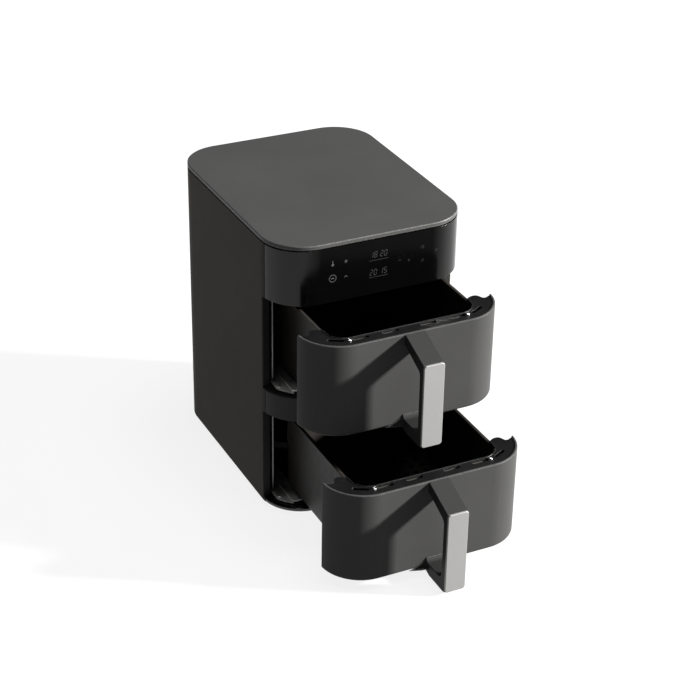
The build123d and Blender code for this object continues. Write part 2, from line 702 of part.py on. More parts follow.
FRONT_SLOT = (25.0, 6.0)    # length and width
FRONT_SLOTS_X = (-74.0, -29.0, 29.0, 74.0)
CORNER_SLOT = (24.0, 6.0)
CORNER_SPOT = (108.0, 24.0)
CORNER_TURN = 28.0
POCKET_T = 1.2
POCKET_LOW = RIM_Z - 8.0
MOUTH_W = BASKET_W - 2.0
MOUTH_FRONT_Y = BASKET_FRONT_Y + 1.0
BEAD_W = 1.4
TAIL_FRONT_Y = -152.0
TAIL = [(110.0, -134.4), (114.5, -130.0), (118.5, -127.8), (123.5, -126.6), (128.4, -127.6),
        (131.3, -130.9), (132.8, -135.2), (135.3, -138.2), (138.8, -138.3), (142.8, -136.4),
        (146.9, -135.6)]    # the rear edge of the flange: a lobe by the basket, then a hollow


def mouth(grow):
    """The front of the opening that the flange leaves for the basket, moved outwards."""
    return Pos(0, MOUTH_FRONT_Y + 100 - grow) * RectangleRounded(
        MOUTH_W + 2 * grow, 200, BASKET_R - 1 + grow)


def rim_outline():
    """The flange between the fascia and the basket, seen from above."""
    sheet = plan(FASCIA_WALL + 0.1) & Pos(0, TAIL_FRONT_Y - 100) * Rectangle(400, 200)
    edge = Spline(*TAIL)
    outline = edge + Polyline(TAIL[-1], (TAIL[-1][0], TAIL_FRONT_Y - 1), (TAIL[0][0], TAIL_FRONT_Y - 1),
                              TAIL[0])
    tail = make_face(outline)
    for piece in both_sides(tail):
        sheet += piece & plan(FASCIA_WALL + 0.1)
    return sheet - mouth(0)


def slot_spots():
    """Each slot's place on the flange, and its length and width."""
    spots = [(Pos(x, FRONT_Y + SLOT_BACK), FRONT_SLOT) for x in FRONT_SLOTS_X]
    for side in (-1, 1):
        spot = Pos(side * CORNER_SPOT[0], FRONT_Y + CORNER_SPOT[1]) * Rot(0, 0, side * CORNER_TURN)
        spots.append((spot, CORNER_SLOT))
    return spots


def rim_cover():
    """The slotted flange: a raised bead along the basket, and a pocket under every slot."""
    outline = rim_outline()
    cover = slab(outline, COVER_LOW, COVER_TOP)
    cover += slab(outline & mouth(BEAD_W), COVER_TOP - 0.5, RIM_Z - 0.2)
    lip_room = slab(basket_plan(RIM_LIP + 0.2), BASKET_RIM_Z - LIP_H - 0.2, BASKET_RIM_Z + 0.1)
    for spot, (length, width) in slot_spots():
        outside = spot * SlotOverall(length + 2 * POCKET_T, width + 2 * POCKET_T)
        cover += slab(outside, POCKET_LOW, COVER_LOW + 0.5) - lip_room
        cover -= slab(spot * SlotOverall(length, width), POCKET_LOW + POCKET_T, RIM_Z)
    for x in (-RIM_SCREW_X, RIM_SCREW_X):
        cover -= rod_z(x, FRONT_Y + SLOT_BACK, 1.7, COVER_LOW - 1, COVER_TOP + 1)
    return cover


def rim_screws():
    one = screw(3.0, 1.6, 1.5, 9.0)
    spots = [(x, FRONT_Y + SLOT_BACK, COVER_TOP) for x in (-RIM_SCREW_X, RIM_SCREW_X)]
    return group([Pos(*spot) * one for spot in spots])


def front_bracket():
    """The steel plate that ties the fascia to the basket."""
    low, high = BRACKET_Z
    plate = block((-WEB_X - 2, WEB_X + 2), (BRACKET_Y, BRACKET_Y + 1.5), (low, high))
    plate = fillet(plate.edges().filter_by(Axis.Y), 6)
    for z in HANDLE_SCREW_Z:
        plate -= rod_y(0, z, 14, -175, -165)
    for ear in both_sides(block((62, 78), (BRACKET_Y, BASKET_FRONT_Y + 0.2), (high - 14, high - 10))):
        plate += ear
    return plate


ARM_H = 16.5                # height of the upper arm where it leaves the fascia
LOWER_ARM_TOP = -131.5      # heights from the drawer's rim
LOWER_ARM_LOW = -150.3
GRIP_T = 9.5
ROOT_Z = -140.3             # below this the arm keeps clear of the housing's closed front
ROOT_GAP = 0.6
FLARE = [(7.2, 28.0), (11.2, 16.0), (16.0, 8.0), (22.5, 1.0)]    # level above the tray, and spread


def flare_section(level, spread, back=0.0):
    """A hollow-sided triangle between the arm's right side and the fascia's face."""
    side = HANDLE_W / 2 - 0.8
    reach = spread / 2
    curve = Bezier((side + spread, -back), (side, -back), (side, -back - reach))
    closing = Polyline((side, -back - reach), (side, -back), (side + spread, -back))
    return Pos(0, FRONT_Y, level) * make_face(curve + closing)


def handle_flare():
    """The web that spreads the right side of the lower arm into the fascia."""
    upper = loft([flare_section(level, spread) for level, spread in FLARE])
    lower = loft([flare_section(2.0, 6.0, ROOT_GAP), flare_section(FLARE[0][0], FLARE[0][1], ROOT_GAP)])
    return [upper, lower]


def handle():
    """The closed loop: two arms and an upright grip, in one moulding."""
    out = HANDLE_REACH - GRIP_TRIM_T
    top = -HANDLE_DROP
    low = top - GRIP_H
    outer = [(0, -0.6), (out, top), (out, low), (out - 4, LOWER_ARM_LOW), (11, LOWER_ARM_LOW + 0.6),
             (ROOT_GAP, LOWER_ARM_LOW + 4), (ROOT_GAP, ROOT_Z), (0, ROOT_Z)]
    inner = [(-0.4, -ARM_H), (out - GRIP_T, top - ARM_H + 1), (out - GRIP_T, LOWER_ARM_TOP),
             (-0.4, LOWER_ARM_TOP)]
    window = Polygon(*inner, align=None)
    corners = window.vertices().sort_by(Axis.Y)
    window = fillet(corners[0:2].sort_by(Axis.X)[0:1], 8.0)
    window = fillet(window.vertices().group_by(Axis.X)[-1], 9.0)
    side = Plane.YZ * (Polygon(*outer, align=None) - window)
    loop = mirror(extrude(side, HANDLE_W / 2, both=True), about=Plane.XZ)
    rims = loop.edges().filter_by(lambda e: abs(abs(e.center().X) - HANDLE_W / 2) < 0.01
                                  and -out + 0.5 < e.center().Y < -1.5)
    loop = Pos(0, FRONT_Y, RIM_Z) * fillet(rims, 1.0)
    for flare in handle_flare():
        for web in both_sides(flare):
            loop += web
    for x, z in HANDLE_SCREWS:
        loop -= rod_y(x, z, 1.7, FRONT_Y - 7, FRONT_Y + 1)
    return loop


def grip_trim():
    """The metal plate on the face of the grip."""
    front = FRONT_Y - HANDLE_REACH
    high = RIM_Z - HANDLE_DROP
    plate = block((-HANDLE_W / 2, HANDLE_W / 2), (front, front + GRIP_TRIM_T), (high - GRIP_H, high))
    plate = fillet(plate.edges().filter_by(Axis.Y), 4.5)
    return fillet(plate.edges().group_by(Axis.Y)[0], 1.0)


def handle_screws():
    one = Rot(-90, 0, 0) * screw(3.6, 2.0, 1.6, 17.0)
    return group([Pos(x, -178, z) * one for x, z in HANDLE_SCREWS])


def magnet(tier):
    """It faces the divider, so it sits at the top of the lower drawer and the foot of the upper one."""
    low = COVER_LOW - MAGNET_H if tier == "lower" else FASCIA_LOW + 6
    return rod_z(MAGNET_X, -180, MAGNET_R, low, low + MAGNET_H)


DRAWER_PIECES = {
    "basket": basket,
    "skids": skids,
    "crisper_plate": crisper_plate,
    "plate_bumpers": plate_bumpers,
    "fascia": fascia,
    "rim_cover": rim_cover,
    "rim_screws": rim_screws,
    "front_bracket": front_bracket,
    "handle": handle,
    "grip_trim": grip_trim,
    "handle_screws": handle_screws,
}
TIER_PIECES = {
    "liner": liner,
    "fan_guard": fan_guard,
    "heater": heater,
    "fan_shroud": fan_shroud,
    "motor": motor,
    "fan_shaft": fan_shaft,
    "impeller": impeller,
    "cooling_fan": cooling_fan,
}
HOUSING_PIECES = [
    base_tray, rubber_feet, side_wrap, rear_cover, rear_cover_screws, cord_gland, top_lid, lid_frame,
    lid_screws, front_frame, divider_cover, control_panel, display_module, touch_board, power_board,
    reed_sensors, rails, rail_screws, insulation_mats, temperature_sensors,
]


def main():
    os.makedirs("parts", exist_ok=True)
    front = FRONT_Y - LOWER_OPEN - HANDLE_REACH
    back = BACK_Y + GLAND_OUT
    home = Pos(0, -(front + back) / 2, FOOT_H)
    for make in HOUSING_PIECES:
        export_step(home * make(), f"parts/{make.__name__}.step")
    for tier, lift in TIERS.items():
        for name, make in TIER_PIECES.items():
            export_step(home * make(lift), f"parts/{tier}_{name}.step")
        open_place = home * Pos(0, -OPEN[tier], lift)
        for name, make in DRAWER_PIECES.items():
            export_step(open_place * make(), f"parts/{tier}_{name}.step")
        export_step(open_place * magnet(tier), f"parts/{tier}_magnet.step")


main()
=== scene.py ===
import bpy
import bmesh
from math import cos, radians, sin
from mathutils import Matrix, Vector


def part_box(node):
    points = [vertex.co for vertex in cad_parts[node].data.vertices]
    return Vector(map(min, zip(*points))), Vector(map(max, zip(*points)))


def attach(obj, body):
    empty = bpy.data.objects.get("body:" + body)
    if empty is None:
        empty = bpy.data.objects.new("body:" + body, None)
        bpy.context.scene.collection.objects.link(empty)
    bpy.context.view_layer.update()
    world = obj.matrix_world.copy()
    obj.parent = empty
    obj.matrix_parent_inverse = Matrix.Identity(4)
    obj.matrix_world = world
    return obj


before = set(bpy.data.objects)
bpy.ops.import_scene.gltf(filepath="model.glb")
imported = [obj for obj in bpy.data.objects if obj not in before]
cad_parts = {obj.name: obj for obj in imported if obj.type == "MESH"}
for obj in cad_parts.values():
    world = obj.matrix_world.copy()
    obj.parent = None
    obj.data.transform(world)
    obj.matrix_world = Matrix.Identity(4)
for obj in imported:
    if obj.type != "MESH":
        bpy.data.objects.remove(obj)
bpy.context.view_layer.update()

# Lengths are in metres, apart from the lens and the sensor of the camera.
EDGE_R = 0.0007             # how far a finish rounds over sharp edges
WHITE = (1.0, 1.0, 1.0)


# ---- node helpers ----
class Graph:
    """A material's node tree, with short names for the nodes that these finishes use."""

    def __init__(self, name):
        self.material = bpy.data.materials.new(name)
        self.material.use_nodes = True
        self.tree = self.material.node_tree
        self.shader = self.tree.nodes["Principled BSDF"]
        self.place = self.tree.nodes.new("ShaderNodeTexCoord").outputs["Object"]

    def node(self, kind, **settings):
        made = self.tree.nodes.new(kind)
        for key, value in settings.items():
            setattr(made, key, value)
        return made

    def put(self, socket, value):
        """Links value to socket if it is an output, or else sets it as the socket's number."""
        if isinstance(value, bpy.types.NodeSocket):
            self.tree.links.new(value, socket)
        else:
            socket.default_value = value

    def stretch(self, x, y, z):
        """The place on the piece, scaled by a different number on each axis."""
        mapping = self.node("ShaderNodeMapping")
        self.put(mapping.inputs["Vector"], self.place)
        mapping.inputs["Scale"].default_value = (x, y, z)
        return mapping.outputs["Vector"]

    def noise(self, scale, detail=3.0, roughness=0.55, place=None):
        """Cloudy noise, with about scale patches to the metre where place isn't stretched."""
        made = self.node("ShaderNodeTexNoise")
        self.put(made.inputs["Vector"], place or self.place)
        made.inputs["Scale"].default_value = scale
        made.inputs["Detail"].default_value = detail
        made.inputs["Roughness"].default_value = roughness
        return made.outputs["Fac"]

    def cells(self, scale, place=None):
        """Scattered cells, about scale of them to the metre, with 0 at the middle of each."""
        made = self.node("ShaderNodeTexVoronoi", feature="F1")
        self.put(made.inputs["Vector"], place or self.place)
        made.inputs["Scale"].default_value = scale
        return made.outputs["Distance"]

    def spread(self, value, low, high, to_low=0.0, to_high=1.0):
        """value, stretched from low..high to to_low..to_high, and held inside it."""
        made = self.node("ShaderNodeMapRange", clamp=True)
        self.put(made.inputs["Value"], value)
        limits = {"From Min": low, "From Max": high, "To Min": to_low, "To Max": to_high}
        for name, number in limits.items():
            made.inputs[name].default_value = number
        return made.outputs["Result"]

    def math(self, operation, a, b=0.0):
        made = self.node("ShaderNodeMath", operation=operation)
        self.put(made.inputs[0], a)
        self.put(made.inputs[1], b)
        return made.outputs[0]

    def blend(self, share, a, b):
        """Colour a where share is 0 and colour b where it is 1."""
        made = self.node("ShaderNodeMix", data_type="RGBA")
        self.put(made.inputs["Factor"], share)
        for socket, value in ((made.inputs["A"], a), (made.inputs["B"], b)):
            self.put(socket, value if isinstance(value, bpy.types.NodeSocket) else (*value, 1.0))
        return made.outputs["Result"]

    def soft_normal(self, radius):
        """The surface's direction with its sharp edges rounded over by radius."""
        bevel = self.node("ShaderNodeBevel", samples=4)
        bevel.inputs["Radius"].default_value = radius
        return bevel.outputs["Normal"]

    def edges(self, normal):
        """1 on sharp edges and 0 away from them."""
        geometry = self.node("ShaderNodeNewGeometry")
        dot = self.node("ShaderNodeVectorMath", operation="DOT_PRODUCT")
        self.put(dot.inputs[0], normal)
        self.put(dot.inputs[1], geometry.outputs["Normal"])
        return self.spread(dot.outputs["Value"], 0.99, 0.85)

    def bump(self, height, strength, distance, normal):
        """The direction normal, tilted by a relief that is distance deep."""
        made = self.node("ShaderNodeBump")
        self.put(made.inputs["Height"], height)
        made.inputs["Strength"].default_value = strength
        made.inputs["Distance"].default_value = distance
        self.put(made.inputs["Normal"], normal)
        return made.outputs["Normal"]


# ---- colours ----
def grey(level):
    return (level, level, level)


def scaled(tone, factor):
    """tone, with each of its three parts multiplied by factor."""
    return tuple(part * factor for part in tone)


# ---- finishes ----
def finish(g, colour, rough, height, relief, metallic=0.0, specular=0.5, edge_wear_and_highlight=None, radius=EDGE_R):
    """Joins a finish's colour, its patches of roughness, its relief and its worn and highlit edges.

    rough is the lowest and the highest roughness, relief is the bump's strength and depth, and the edge
    colour is laid in patches along sharp edges: scuffing, and a painted highlight where that colour is
    several times brighter than the face.
    """
    rounded = g.soft_normal(radius)
    if edge_wear_and_highlight:
        # Patches along sharp edges take the edge colour: scuffs, and a painted highlight standing in for
        # light caught by the edge where that colour is much brighter than the face.
        worn_and_highlit_edges = g.math("MULTIPLY", g.edges(rounded), g.spread(g.noise(240.0, 4.0), 0.35, 0.62, 0.3, 1.0))
        colour = g.blend(worn_and_highlit_edges, colour, edge_wear_and_highlight)
    g.put(g.shader.inputs["Base Color"], colour)
    patches = g.math("ADD", g.noise(9.0, 4.0), g.noise(90.0, 4.0, 0.6))
    g.put(g.shader.inputs["Roughness"], g.spread(patches, 0.75, 1.25, *rough))
    g.put(g.shader.inputs["Normal"], g.bump(height, *relief, rounded))
    g.shader.inputs["Metallic"].default_value = metallic
    g.shader.inputs["Specular IOR Level"].default_value = specular
    return g.material


def paint(name, tone, rough, fleck, edge_wear_and_highlight, specular, warm=WHITE, radius=EDGE_R):
    """Satin paint: a fine metallic fleck, slow drifts of tone, and a faint orange peel.

    tone is the paint's brightness, warm tints it, and fleck is how many times as bright its fleck is.
    """
    g = Graph(name)
    drift = g.math("ADD", g.noise(5.0, 3.0), g.noise(900.0, 2.0))
    colour = g.blend(g.spread(drift, 0.7, 1.3), scaled(warm, tone * 0.86), scaled(warm, tone * 1.10))
    colour = g.blend(g.spread(g.cells(2600.0), 0.16, 0.05), colour, scaled(warm, tone * fleck))
    height = g.math("ADD", g.noise(420.0, 2.0), g.math("MULTIPLY", g.noise(2200.0, 2.0), 0.6))
    # The edge colour, two to eight times as bright as the paint, is a painted highlight where light would
    # catch an edge.
    return finish(g, colour, rough, height, (0.10, 0.00025), specular=specular, edge_wear_and_highlight=edge_wear_and_highlight, radius=radius)


def moulded(name, tone, rough, grain, specular=0.3, edge_wear_and_highlight=None):
    """Moulded plastic or rubber with a spark-eroded grain, which has grain dimples to the metre."""
    g = Graph(name)
    colour = g.blend(g.spread(g.noise(40.0, 5.0), 0.35, 0.65), scaled(tone, 0.78), scaled(tone, 1.2))
    height = g.math("ADD", g.cells(grain), g.noise(grain * 0.6, 3.0))
    # Where an edge colour is given, it is several times as bright as the plastic: a painted highlight along
    # its edges.
    return finish(g, colour, rough, height, (0.22, 0.0002), specular=specular, edge_wear_and_highlight=edge_wear_and_highlight)


FLAT_HALF_W = 0.088         # half the width of the housing's flat front, between its round corners
FLAT_FADE_IN = 0.002        # how far inside that the flat front's weaker gloss starts to change
FLAT_FADE_OUT = 0.022       # how far outside it the corners' full gloss is reached


def gloss(name, tone, rough, specular, flat_specular=None):
    """Polished plastic or glass: faint smears, a little dust, and a very slow wave.

    flat_specular is the weaker gloss of a coated flat front, between the bare round corners.
    """
    g = Graph(name)
    dust = g.spread(g.cells(700.0), 0.07, 0.02)
    smear = g.spread(g.noise(6.0, 6.0, 0.7, g.stretch(1.0, 1.0, 3.0)), 0.45, 0.75)
    colour = g.blend(smear, tone, scaled(tone, 1.5))
    colour = g.blend(g.math("MULTIPLY", dust, 0.5), colour, scaled(tone, 6))
    wave = g.noise(18.0, 2.0)
    material = finish(g, colour, rough, wave, (0.04, 0.0005), specular=specular, radius=0.0005)
    if flat_specular:
        parts = g.node("ShaderNodeSeparateXYZ")
        g.put(parts.inputs["Vector"], g.place)
        across = g.math("ABSOLUTE", parts.outputs["X"])
        edge_in, edge_out = FLAT_HALF_W - FLAT_FADE_IN, FLAT_HALF_W + FLAT_FADE_OUT
        level = g.spread(across, edge_in, edge_out, flat_specular, specular)
        g.put(g.shader.inputs["Specular IOR Level"], level)
    return material


def metal(name, tone, rough, grain, metallic=1.0, stain=None, specular=0.5):
    """Sheet or bar metal with a grain, and with slow staining where stain is given.

    grain is how fine the streaks are along each axis: a low number draws them out that way.
    """
    g = Graph(name)
    streak = g.noise(1.0, 4.0, 0.65, g.stretch(*grain))
    colour = g.blend(g.spread(streak, 0.3, 0.7), scaled(tone, 0.85), scaled(tone, 1.1))
    if stain:
        colour = g.blend(g.spread(g.noise(22.0, 5.0, 0.65), 0.5, 0.72), colour, stain)
    worn_and_highlit_edges = tuple(min(part, 1.0) for part in scaled(tone, 1.35))
    return finish(g, colour, rough, streak, (0.12, 0.00015), metallic, specular, worn_and_highlit_edges)


def enamel(name, tone, rough, specular):
    """Non-stick coating or enamel: speckled, with a pebbled surface."""
    g = Graph(name)
    colour = g.blend(g.spread(g.cells(1100.0), 0.12, 0.32), scaled(tone, 1.9), tone)
    colour = g.blend(g.spread(g.noise(14.0, 4.0), 0.4, 0.7), colour, scaled(tone, 0.6))
    height = g.math("ADD", g.noise(850.0, 3.0), g.cells(420.0))
    return finish(g, colour, rough, height, (0.16, 0.0002), specular=specular, edge_wear_and_highlight=scaled(tone, 1.6))


def board(name):
    """Solder mask over fine copper tracks."""
    g = Graph(name)
    tracks = g.spread(g.cells(160.0, g.stretch(1.0, 3.0, 1.0)), 0.42, 0.46)
    colour = g.blend(tracks, (0.010, 0.070, 0.028), (0.030, 0.140, 0.060))
    return finish(g, colour, (0.3, 0.5), tracks, (0.2, 0.0001), edge_wear_and_highlight=(0.30, 0.26, 0.14))


def fibre(name):
    """Pressed mineral wool."""
    g = Graph(name)
    fibres = g.math("ADD", g.noise(300.0, 5.0, 0.7, g.stretch(1.0, 4.0, 1.0)), g.noise(500.0, 4.0))
    colour = g.blend(g.spread(fibres, 0.7, 1.3), (0.42, 0.39, 0.30), (0.78, 0.75, 0.66))
    return finish(g, colour, (0.85, 0.98), fibres, (0.8, 0.0012), specular=0.1, radius=0.001)


def ink(name, tone):
    """Screen-printed ink, a little uneven."""
    g = Graph(name)
    speck = g.spread(g.noise(1500.0, 3.0), 0.3, 0.7)
    colour = g.blend(speck, scaled(tone, 0.75), tone)
    return finish(g, colour, (0.45, 0.6), speck, (0.1, 0.0001), specular=0.2, radius=0.0001)


# ---- the finish of each slot ----
BROWNISH = (1.14, 1.0, 0.87)
# The edge colours of the paints and the moulded plastics are two to eight times as bright as their faces:
# painted highlights along the edges, where light would catch them. The lid's wider edge rounding widens its
# painted highlight. On the board the edge colour is bare copper.
MATERIALS = {
    "wrap_paint": paint("wrap_paint", 0.0215, (0.46, 0.50), fleck=1.5, edge_wear_and_highlight=(0.050, 0.045, 0.040),
                        specular=0.02, warm=BROWNISH),
    "lid_paint": paint("lid_paint", 0.026, (0.40, 0.44), fleck=2.2, edge_wear_and_highlight=(0.20, 0.198, 0.194),
                       specular=0.15, radius=0.0018),
    "front_paint": paint("front_paint", 0.0225, (0.41, 0.45), fleck=2.2, edge_wear_and_highlight=(0.13, 0.129, 0.127),
                         specular=0.05),
    "handle_plastic": paint("handle_plastic", 0.0115, (0.42, 0.46), fleck=2.0,
                            edge_wear_and_highlight=(0.085, 0.084, 0.083), specular=0.06),
    "panel_gloss": gloss("panel_gloss", grey(0.0006), (0.14, 0.20), specular=0.26, flat_specular=0.04),
    "tray_gloss": gloss("tray_gloss", grey(0.0010), (0.18, 0.24), specular=0.70),
    "black_plastic": moulded("black_plastic", grey(0.0045), (0.45, 0.6), grain=1800.0, specular=0.2,
                             edge_wear_and_highlight=grey(0.020)),
    "rim_plastic": moulded("rim_plastic", (0.0026, 0.0026, 0.0027), (0.32, 0.40), grain=1800.0,
                           specular=0.16, edge_wear_and_highlight=grey(0.022)),
    "display_glass": gloss("display_glass", (0.0016, 0.0018, 0.0020), (0.10, 0.16), specular=0.3),
    "circuit_board": board("circuit_board"),
    "rubber": moulded("rubber", grey(0.012), (0.7, 0.85), grain=1300.0),
    "black_rubber": moulded("black_rubber", grey(0.010), (0.65, 0.8), grain=1500.0),
    "silicone": moulded("silicone", grey(0.022), (0.5, 0.65), grain=1600.0),
    "bare_steel": metal("bare_steel", (0.52, 0.52, 0.51), (0.34, 0.42), grain=(900.0, 40.0, 900.0),
                        metallic=0.4, stain=(0.22, 0.21, 0.20)),
    "cavity_steel": enamel("cavity_steel", grey(0.0018), (0.45, 0.55), specular=0.05),
    "heater_steel": metal("heater_steel", (0.16, 0.13, 0.11), (0.4, 0.55), grain=(500.0, 500.0, 500.0),
                          stain=(0.07, 0.06, 0.08)),
    "motor_steel": metal("motor_steel", (0.42, 0.42, 0.41), (0.35, 0.5), grain=(60.0, 900.0, 60.0),
                         stain=(0.3, 0.29, 0.27)),
    "fan_aluminium": metal("fan_aluminium", grey(0.62), (0.3, 0.45), grain=(400.0, 400.0, 400.0)),
    "trim_aluminium": metal("trim_aluminium", (0.14, 0.14, 0.139), (0.42, 0.48),
                            grain=(2200.0, 2200.0, 1500.0), metallic=0.35, specular=0.4),
    "white_plastic": moulded("white_plastic", (0.60, 0.60, 0.58), (0.35, 0.5), grain=1500.0),
    "non_stick": enamel("non_stick", (0.0125, 0.0112, 0.0100), (0.38, 0.48), specular=0.14),
    "zinc_screw": metal("zinc_screw", grey(0.42), (0.3, 0.45), grain=(600.0, 600.0, 600.0)),
    "bright_screw": metal("bright_screw", grey(0.80), (0.18, 0.30), grain=(700.0, 700.0, 700.0)),
    "insulation": fibre("insulation"),
    "magnet": metal("magnet", grey(0.2), (0.4, 0.55), grain=(900.0, 900.0, 900.0)),
}

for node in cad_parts.values():
    for i, old in enumerate(node.data.materials):
        node.data.materials[i] = MATERIALS[old.name.split(".")[0]]


# ---- adding a piece ----
def add_piece(name, material, draw):
    """A piece of the housing, from a function that draws it into an empty mesh."""
    mesh = bmesh.new()
    draw(mesh)
    bmesh.ops.recalc_face_normals(mesh, faces=mesh.faces)
    data = bpy.data.meshes.new(name)
    mesh.to_mesh(data)
    mesh.free()
    data.materials.append(material)
    piece = bpy.data.objects.new(name, data)
    bpy.context.scene.collection.objects.link(piece)
    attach(piece, "housing")


def ring(middle, radius, start=0.0, sweep=360.0, steps=28):
    """Points round a circle, or round a part of one."""
    count = steps if sweep >= 360 else steps + 1
    turns = [radians(start + sweep * i / steps) for i in range(count)]
    return [(middle[0] + radius * cos(t), middle[1] + radius * sin(t)) for t in turns]


# ---- the printed marks on the touch panel ----
PRINT_T = 0.00012           # how far the ink stands off the panel
INK = ink("panel_ink", grey(0.034))
FAINT_INK = ink("panel_ink_faint", grey(0.0065))
panel_face_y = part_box("control_panel")[0].y
panel_foot_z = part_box("control_panel")[0].z

BOLD_LINE = 0.0011
THIN_LINE = 0.0007
HAIR_LINE = 0.0006

# Places on the panel: x from its middle, and z up from its lower edge.
LEFT_KEYS_X = -0.0690       # the thermometer, with the power key under it
UPPER_KEYS_Z = 0.0595       # the star, and the foot of the thermometer's stem
STAR_X = -0.0490
POWER_Z = 0.0370
POWER_BAR_HALF = 0.0025
POWER_BAR_TILT = 0.0004     # how far each end of the bar is above or below its middle
ARROWS_Z = 0.0352           # the foot of both arrows
FIGURES_X = -0.0120         # the left edge of the first figure
FIGURES = {"1820": 0.0565, "2015": 0.0295}     # each row of figures, and how high its foot is
FIGURE_SIZE = (0.0038, 0.0085)                  # width and height
FIGURE_STEP = 0.0062
PAIR_GAP = 0.0032           # more room between the second figure and the third
RULE_ENDS_X = (-0.0130, 0.0165)
RULES_Z = (0.0520, 0.0262)  # the line under each row of figures
SIGN_HALF = 0.0019          # half the length of the plus and minus signs' lines

SEGMENTS = {"0": "abcdef", "1": "bc", "2": "abged", "5": "afgcd", "8": "abcdefg"}
SEGMENT_ENDS = {"a": ((0, 1), (1, 1)), "b": ((1, 1), (1, 0.5)), "c": ((1, 0.5), (1, 0)),
                "d": ((0, 0), (1, 0)), "e": ((0, 0), (0, 0.5)), "f": ((0, 0.5), (0, 1)),
                "g": ((0, 0.5), (1, 0.5))}
SEGMENT_GAP = 0.12          # the share of a segment that is left open at each of its ends
SLANT = 0.12                # how far a figure leans over, as a share of its height


def up(height):
    """A height above the panel's lower edge, in the row frame."""
    return panel_foot_z + height


def ribbon(mesh, points, width, closed=False):
    """A flat printed line through points (x, z), added to mesh on the panel's face."""
    count = len(points)
    rows = []
    for i, point in enumerate(points):
        before = points[(i - 1) % count] if closed or i else point
        after = points[(i + 1) % count] if closed or i < count - 1 else point
        along = (Vector(after) - Vector(before)).normalized()
        side = Vector((-along.y, along.x)) * width / 2
        row = []
        for edge, depth in ((side, 0.0), (-side, 0.0), (-side, -PRINT_T), (side, -PRINT_T)):
            spot = Vector(point) + edge
            row.append(mesh.verts.new((spot.x, panel_face_y + depth, spot.y)))
        rows.append(row)
    pairs = zip(rows, rows[1:] + rows[:1] if closed else rows[1:])
    for a, b in pairs:
        for k in range(4):
            mesh.faces.new((a[k], a[(k + 1) % 4], b[(k + 1) % 4], b[k]))
    if not closed:
        mesh.faces.new(rows[0])
        mesh.faces.new(tuple(reversed(rows[-1])))


def strokes(mesh, x, height, half, turns, width):
    """Straight lines through one middle, each turned by a number of degrees: a dash, a plus or a star."""
    middle = Vector((x, up(height)))
    for turn in turns:
        across = Vector((cos(radians(turn)), sin(radians(turn)))) * half
        ribbon(mesh, [tuple(middle - across), tuple(middle + across)], width)


def arrow(mesh, x, half, rise, width):
    """An arrow that points up, with its tip over x."""
    foot = up(ARROWS_Z)
    ribbon(mesh, [(x - half, foot), (x, foot + rise), (x + half, foot)], width)


def digit(mesh, x, z, figure):
    """One seven-segment figure, with its lower left corner at x, z."""
    wide, high = FIGURE_SIZE
    for key in SEGMENTS[figure]:
        start, stop = (Vector((x + u * wide + v * high * SLANT, z + v * high)) for u, v in SEGMENT_ENDS[key])
        gap = (stop - start) * SEGMENT_GAP
        ribbon(mesh, [tuple(start + gap), tuple(stop - gap)], BOLD_LINE)


def draw_main_marks(mesh):
    """The keys on the left: a thermometer, a star, a power ring with a bar in it, and an arrow."""
    stem = [(LEFT_KEYS_X, up(UPPER_KEYS_Z)), (LEFT_KEYS_X, up(UPPER_KEYS_Z + 0.0040))]
    ribbon(mesh, stem, BOLD_LINE)
    bulb = ring((LEFT_KEYS_X, up(UPPER_KEYS_Z - 0.0020)), radius=0.0014, steps=14)
    ribbon(mesh, bulb, BOLD_LINE, closed=True)
    strokes(mesh, STAR_X, UPPER_KEYS_Z, half=0.0024, turns=(0, 60, 120), width=THIN_LINE)
    power_ring = ring((LEFT_KEYS_X, up(POWER_Z)), radius=0.0052, steps=36)
    ribbon(mesh, power_ring, width=0.0008, closed=True)
    bar_left = (LEFT_KEYS_X - POWER_BAR_HALF, up(POWER_Z - POWER_BAR_TILT))
    bar_right = (LEFT_KEYS_X + POWER_BAR_HALF, up(POWER_Z + POWER_BAR_TILT))
    ribbon(mesh, [bar_left, bar_right], width=0.0013)
    arrow(mesh, x=-0.0487, half=0.0021, rise=0.0026, width=0.0009)


def draw_figures(mesh):
    """Each tier's four figures, in two pairs."""
    for figures, height in FIGURES.items():
        for i, figure in enumerate(figures):
            x = FIGURES_X + i * FIGURE_STEP + (PAIR_GAP if i > 1 else 0.0)
            digit(mesh, x, up(height), figure)


def draw_faint_marks(mesh):
    """The lines under the figures, and the programme keys on the right."""
    for height in RULES_Z:
        ribbon(mesh, [(x, up(height)) for x in RULE_ENDS_X], HAIR_LINE)
    whole_ring = ring((0.0700, up(0.0580)), radius=0.0020, steps=16)
    ribbon(mesh, whole_ring, HAIR_LINE, closed=True)
    open_ring = ring((0.0924, up(0.0490)), radius=0.0018, start=30, sweep=300)
    ribbon(mesh, open_ring, HAIR_LINE)
    arrow(mesh, x=0.0708, half=0.0018, rise=0.0040, width=THIN_LINE)
    strokes(mesh, x=0.0489, height=0.0413, half=SIGN_HALF, turns=(0, 90), width=THIN_LINE)
    strokes(mesh, x=0.0343, height=0.0443, half=SIGN_HALF, turns=(0,), width=THIN_LINE)


add_piece("panel_keys", INK, draw_main_marks)
add_piece("panel_figures", FAINT_INK, draw_figures)
add_piece("panel_faint_keys", FAINT_INK, draw_faint_marks)


# ---- the rolled edge of each cavity's mouth ----
HEM_R = 0.0021
HEM_STEPS = 12
HEM_INSET = 0.0071          # from the liner's side in to the middle of the rolled edge
HEM_TIP = 0.35              # how wide a rod is at its very end, as a share of its full width
HEM_SHORT = 0.004           # how far a rod stops short of the liner's bottom and top


